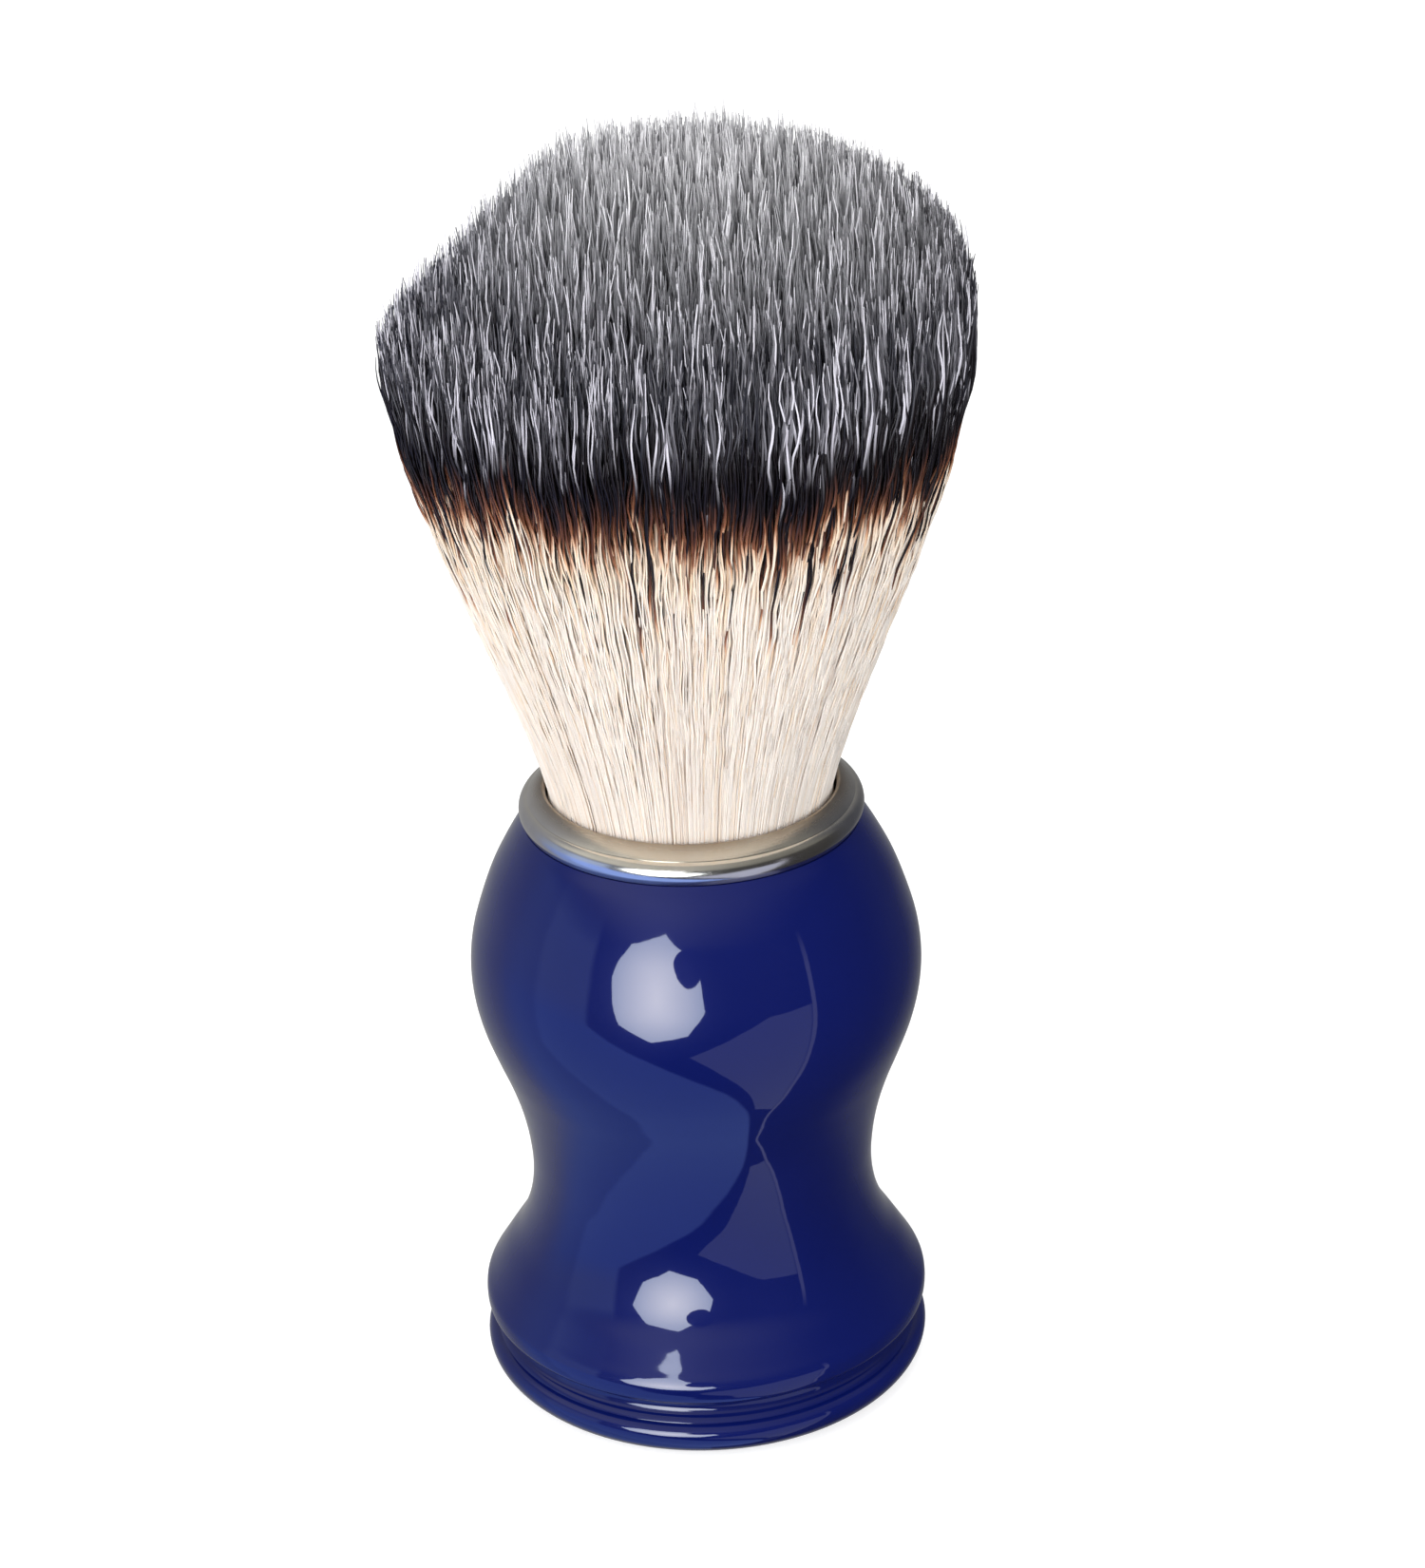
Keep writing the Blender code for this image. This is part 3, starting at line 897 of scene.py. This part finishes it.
def add_knot():
    random = np.random.default_rng(RANDOM_SEED)
    material = dyed_fibre()
    lower_nodes = ["fibre_root", "fibre_lower_loft"]
    upper_nodes = ["fibre_upper_loft"]
    lines, angle, home, shade = strand_lines(
        random, OUTER_STRANDS, OUTER_SHARES, STRAND_START, PATH_STEPS, None
    )
    classes = dye_classes(random, angle, home, shade)
    sizes = random.uniform(*STRAND_SIZES, OUTER_STRANDS)
    # Each path is resampled so that one point lies on the plane that parts the tiers
    lower = resample(lines, STRAND_START, TIER_HEIGHT, LOWER_STEPS)
    upper = resample(lines, TIER_HEIGHT, None, UPPER_STEPS)
    widths = strand_widths(lower, sizes, tapered=False)
    add_strands("lower_strands", lower, widths, classes, material, lower_nodes)
    widths = strand_widths(upper, sizes, tapered=True)
    add_strands("upper_strands", upper, widths, classes, material, upper_nodes)
    lines, angle, home, shade = strand_lines(
        random, CROWN_STRANDS, CROWN_SHARES, None, CROWN_STEPS, CROWN_SINK
    )
    classes = dye_classes(random, angle, home, shade)
    sizes = random.uniform(*STRAND_SIZES, CROWN_STRANDS)
    widths = strand_widths(lines, sizes, tapered=True)
    add_strands("crown_strands", lines, widths, classes, material, upper_nodes)
    add_core(packed_roots())


def resample(lines, low, high, steps):
    """Points at even steps of height between low and high, or up to each strand's own tip."""
    result = np.empty((len(lines), steps + 1, 3))
    for i, line in enumerate(lines):
        top = line[-1, 2] if high is None else high
        heights = np.linspace(low, top, steps + 1)
        result[i, :, 0] = np.interp(heights, line[:, 2], line[:, 0])
        result[i, :, 1] = np.interp(heights, line[:, 2], line[:, 1])
        result[i, :, 2] = heights
    return result


# ---------------------------------------------------------------- stage, lights and camera


def add_camera():
    data = bpy.data.cameras.new("camera")
    data.lens = CAMERA_LENS
    data.sensor_width = 36.0
    data.clip_start = 0.01
    data.clip_end = 10.0
    camera = add_object("camera", data)
    ahead = Vector((
        math.sin(CAMERA_YAW) * math.cos(CAMERA_PITCH),
        math.cos(CAMERA_YAW) * math.cos(CAMERA_PITCH),
        -math.sin(CAMERA_PITCH),
    ))
    right = ahead.cross(Vector((0, 0, 1))).normalized()
    up = right.cross(ahead)
    turned_right = right * math.cos(CAMERA_ROLL) + up * math.sin(CAMERA_ROLL)
    turned_up = up * math.cos(CAMERA_ROLL) - right * math.sin(CAMERA_ROLL)
    turn = Matrix((turned_right, turned_up, -ahead)).transposed()
    camera.matrix_world = Matrix.Translation(CAMERA_PLACE) @ turn.to_4x4()
    bpy.context.scene.camera = camera


def gloss_room(tree):
    """What the gloss sees: a dim room, pale high up and behind, with a lit table on the left and
    another stretch of it in front on the right, which ends in a thin bright edge."""
    around = node(tree, "ShaderNodeTexCoord").outputs["Generated"]
    parts = node(tree, "ShaderNodeSeparateXYZ")
    tree.links.new(around, parts.inputs[0])
    x, y, z = parts.outputs
    azimuth = calculate(tree, "ARCTAN2", x, calculate(tree, "MULTIPLY", y, -1.0))
    azimuth = calculate(tree, "DEGREES", azimuth)
    elevation = calculate(tree, "DEGREES", calculate(tree, "ARCSINE", z))
    side = remap(tree, x, -1.0, 0.7)
    room = ramp(
        tree,
        side,
        [
            (0.0, (0.14, 0.16, 0.23)),
            (0.45, (0.02, 0.022, 0.03)),
            (1.0, (0.05, 0.05, 0.055)),
        ],
    )
    # Left: a lit table, brighter in the band next to its near edge
    drop = calculate(tree, "MAXIMUM", calculate(tree, "MULTIPLY_ADD", elevation, -1.0, -12.0), 0.0)
    near_edge = calculate(tree, "MULTIPLY_ADD", drop, 1.8, -55.0)
    drop = calculate(tree, "MAXIMUM", calculate(tree, "MULTIPLY_ADD", elevation, -1.0, -30.0), 0.0)
    far_edge = calculate(tree, "MULTIPLY_ADD", drop, 0.8, -86.0)
    left = remap(tree, calculate(tree, "SUBTRACT", near_edge, azimuth), -1.0, 2.0)
    beyond = remap(tree, calculate(tree, "SUBTRACT", far_edge, azimuth), -1.5, 2.5)
    left = calculate(tree, "MULTIPLY", left, remap(tree, beyond, 0.0, 1.0, 1.0, 0.62))
    left = calculate(tree, "MULTIPLY", left, remap(tree, azimuth, -160.0, -100.0, 0.6, 1.0))
    left = calculate(tree, "MULTIPLY", left, remap(tree, elevation, 26.0, 16.0))
    table = mix_colours(tree, remap(tree, elevation, -14.0, 0.0), (0.34, 0.52, 1.30), (0.44, 0.56, 0.92))
    room = mix_colours(tree, left, room, table)
    # Right: a wedge of table that widens from its point to the thin edge
    widen = calculate(tree, "MAXIMUM", calculate(tree, "ADD", azimuth, 5.0), 0.0)
    rise = calculate(tree, "MINIMUM", calculate(tree, "MULTIPLY", widen, 0.50), 20.0)
    fall = calculate(tree, "MINIMUM", calculate(tree, "MULTIPLY", widen, 0.80), 38.0)
    middle = calculate(tree, "ADD", elevation, 24.0)
    bottom = calculate(tree, "MULTIPLY", fall, -1.0)
    wedge = calculate(tree, "LESS_THAN", middle, rise)
    wedge = calculate(tree, "MULTIPLY", wedge, calculate(tree, "GREATER_THAN", middle, bottom))
    wedge = calculate(tree, "MULTIPLY", wedge, remap(tree, azimuth, 58.0, 56.0))
    room = mix_colours(tree, wedge, room, (0.52, 0.56, 0.80))
    line = calculate(tree, "COMPARE", azimuth, 58.5, 1.2)
    line = calculate(tree, "MULTIPLY", line, remap(tree, elevation, 20.0, 5.0))
    room = mix_colours(tree, line, room, (0.70, 0.72, 0.95))
    lift = remap(tree, z, 0.34, 0.60, smooth=True)
    behind = remap(tree, y, 0.1, 0.5, smooth=True)
    high = ramp(
        tree,
        side,
        [
            (0.0, (0.80, 0.80, 0.79)),
            (0.5, (0.50, 0.50, 0.49)),
            (1.0, (0.20, 0.20, 0.195)),
        ],
    )
    back = ramp(
        tree,
        side,
        [
            (0.0, (0.27, 0.29, 0.38)),
            (0.5, (0.36, 0.36, 0.36)),
            (1.0, (0.07, 0.075, 0.10)),
        ],
    )
    room = mix_colours(tree, lift, room, high)
    return mix_colours(tree, behind, room, back)


def add_world():
    """White to the camera, an even pale room for soft light, and a dim one for the gloss."""
    world = bpy.data.worlds.new("studio")
    bpy.context.scene.world = world
    world.use_nodes = True
    tree = world.node_tree
    tree.nodes.clear()
    output = node(tree, "ShaderNodeOutputWorld")
    path = node(tree, "ShaderNodeLightPath")
    gloss = gloss_room(tree)
    room = mix_colours(tree, path.outputs["Is Glossy Ray"], SOFT_LIGHT, gloss)
    room = mix_colours(tree, path.outputs["Is Camera Ray"], room, (1.0, 1.0, 1.0))
    background = node(tree, "ShaderNodeBackground")
    tree.links.new(room, background.inputs["Color"])
    tree.links.new(background.outputs[0], output.inputs["Surface"])


def add_floor():
    """A wide white floor that shows only a breath of shadow."""
    shape = bmesh.new()
    bmesh.ops.create_grid(shape, x_segments=4, y_segments=4, size=2.5)
    mesh = bpy.data.meshes.new("floor")
    shape.to_mesh(mesh)
    shape.free()
    material = bpy.data.materials.new("floor")
    material.use_nodes = True
    tree = material.node_tree
    tree.nodes.clear()
    output = node(tree, "ShaderNodeOutputMaterial")
    path = node(tree, "ShaderNodeLightPath")
    paper = node(tree, "ShaderNodeBsdfDiffuse", Color=(0.42, 0.42, 0.42, 1.0))
    glow = node(tree, "ShaderNodeEmission", Color=(1.0, 1.0, 1.0, 1.0))
    strength = calculate(tree, "MULTIPLY_ADD", path.outputs["Is Camera Ray"], 0.62, 0.06)
    tree.links.new(strength, glow.inputs["Strength"])
    both = node(tree, "ShaderNodeAddShader")
    tree.links.new(paper.outputs[0], both.inputs[0])
    tree.links.new(glow.outputs[0], both.inputs[1])
    tree.links.new(both.outputs[0], output.inputs["Surface"])
    mesh.materials.append(material)
    floor = add_object("floor", mesh)
    floor.visible_glossy = False


def towards(azimuth, elevation, distance, height=0.03):
    """A place seen from the brush at an azimuth from -Y towards +X, and an elevation."""
    a, e = math.radians(azimuth), math.radians(elevation)
    return Vector((
        distance * math.sin(a) * math.cos(e),
        -distance * math.cos(a) * math.cos(e),
        height + distance * math.sin(e),
    ))


def add_reflected_panel(name, azimuth, elevation, distance, size, sides, inner, outer):
    """A glowing panel that only shows as a reflection: (width, height), brightness at its
    middle and at its edge. The room's soft light comes from the world and the lamps."""
    shape = bmesh.new()
    bmesh.ops.create_circle(shape, cap_ends=True, segments=sides, radius=0.5)
    turn = Matrix.Rotation(math.radians(PANEL_TURN), 4, "Z")
    bmesh.ops.transform(shape, matrix=turn, verts=shape.verts)
    fit = 1 / (max(v.co.x for v in shape.verts) * 2)
    scale = Matrix.Diagonal((size[0] * fit, size[1] * fit, 1.0, 1.0))
    bmesh.ops.transform(shape, matrix=scale, verts=shape.verts)
    mesh = bpy.data.meshes.new(name)
    shape.to_mesh(mesh)
    shape.free()
    material = bpy.data.materials.new(name)
    material.use_nodes = True
    tree = material.node_tree
    tree.nodes.clear()
    output = node(tree, "ShaderNodeOutputMaterial")
    glow = node(tree, "ShaderNodeEmission")
    place = object_place(tree)
    reach = node(tree, "ShaderNodeVectorMath", operation="LENGTH")
    tree.links.new(place, reach.inputs[0])
    colour = ramp(
        tree,
        remap(tree, reach.outputs["Value"], 0.0, max(size) / 2),
        [(0.0, inner), (1.0, outer)],
    )
    tree.links.new(colour, glow.inputs["Color"])
    glow.inputs["Strength"].default_value = PANEL_GAIN
    tree.links.new(glow.outputs[0], output.inputs["Surface"])
    mesh.materials.append(material)
    panel = add_object(name, mesh)
    spot = towards(azimuth, elevation, distance)
    aim = (Vector((0, 0, 0.03)) - spot).normalized()
    panel.rotation_mode = "QUATERNION"
    panel.rotation_quaternion = aim.to_track_quat("Z", "Y")
    panel.location = spot
    panel.visible_camera = False
    panel.visible_diffuse = False
    panel.visible_shadow = False


def add_lamp(name, azimuth, elevation, distance, size, watts):
    """A soft lamp that lights the brush without showing in its gloss."""
    data = bpy.data.lights.new(name, "AREA")
    data.shape = "DISK"
    data.size = size
    data.energy = watts
    lamp = add_object(name, data)
    spot = towards(azimuth, elevation, distance)
    aim = (Vector((0, 0, 0.05)) - spot).normalized()
    lamp.rotation_mode = "QUATERNION"
    lamp.rotation_quaternion = aim.to_track_quat("-Z", "Y")
    lamp.location = spot
    lamp.visible_glossy = False
    lamp.visible_camera = False


def add_lights():
    add_reflected_panel(
        "octagon_softbox", -20.0, 7.5, 0.60, (0.52, 0.47), 8, (1.25, 1.25, 1.27), (0.60, 0.68, 0.82)
    )
    add_reflected_panel(
        "dark_disc", -4.0, 18.0, 0.45, (0.12, 0.12), 24, (0.002, 0.002, 0.003), (0.002, 0.002, 0.003)
    )
    add_lamp("key_lamp", -30.0, 30.0, 0.8, 0.6, 5.2)
    add_lamp("fill_lamp", 30.0, 15.0, 0.8, 0.6, 3.9)
    add_lamp("top_lamp", 10.0, 80.0, 0.9, 0.5, 2.2)


add_camera()
add_world()
add_floor()
add_lights()
add_handle()
add_collar()
finish_hidden_pieces()
add_knot()
bpy.context.scene.view_settings.view_transform = "Standard"
